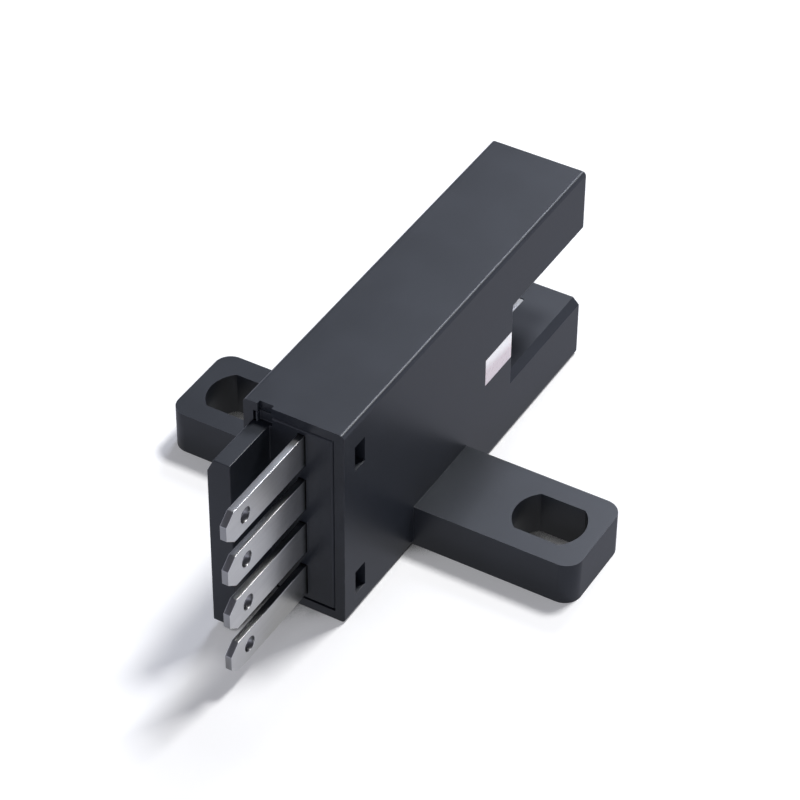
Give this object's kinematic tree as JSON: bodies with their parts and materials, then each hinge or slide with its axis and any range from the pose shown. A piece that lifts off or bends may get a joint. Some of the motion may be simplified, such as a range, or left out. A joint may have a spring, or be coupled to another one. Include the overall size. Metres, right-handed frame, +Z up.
{
  "type": "slotted optical switch",
  "caption": "Slotted photo sensor: black T-shaped housing with a forked sensing end, flatted-hole mounting flanges, an indicator window and a row of flat tab terminals beside a guard wall.",
  "frame": {"origin": "midway between the two mounting holes, on the mounting face", "axes": "+Y towards the fork tips, +Z up from the mounting face, +X to the right seen from the terminals"},
  "size_m": [0.0254, 0.0333, 0.013],
  "materials": {
    "housing_plastic": "fine-grained matte black moulding",
    "cover_plastic": "matte black moulding",
    "milky_plastic": "milky translucent moulding",
    "window_plastic": "pale translucent moulding",
    "tinned_metal": "bright tin plating with fine stamping lines",
    "solder": "dull solder",
    "lead_metal": "tinned leads",
    "board_laminate": "green solder mask",
    "clear_resin": "clear moulded resin",
    "dark_resin": "visible-light-blocking resin",
    "black_epoxy": "moulded epoxy",
    "resistor_ceramic": "dark film on white ceramic with metal ends",
    "capacitor_ceramic": "tan ceramic with metal ends"
  },
  "bodies": {
    "root": {"housing": "housing_plastic", "rear_cover": "cover_plastic", "light_guide": "milky_plastic", "emitter_window": "window_plastic", "receiver_window": "window_plastic", "terminal_1": "tinned_metal", "terminal_2": "tinned_metal", "terminal_3": "tinned_metal", "terminal_4": "tinned_metal", "terminal_solder": "solder", "circuit_board": "board_laminate", "emitter": "clear_resin", "emitter_leads": "lead_metal", "receiver": "dark_resin", "receiver_leads": "lead_metal", "indicator_led": "milky_plastic", "output_transistor": "black_epoxy", "transistor_leads": "lead_metal", "protection_diode": "black_epoxy", "bypass_capacitor": "capacitor_ceramic", "led_resistor": "resistor_ceramic", "indicator_resistor": "resistor_ceramic", "pullup_resistor": "resistor_ceramic", "base_resistor": "resistor_ceramic"}
  },
  "joints": []
}
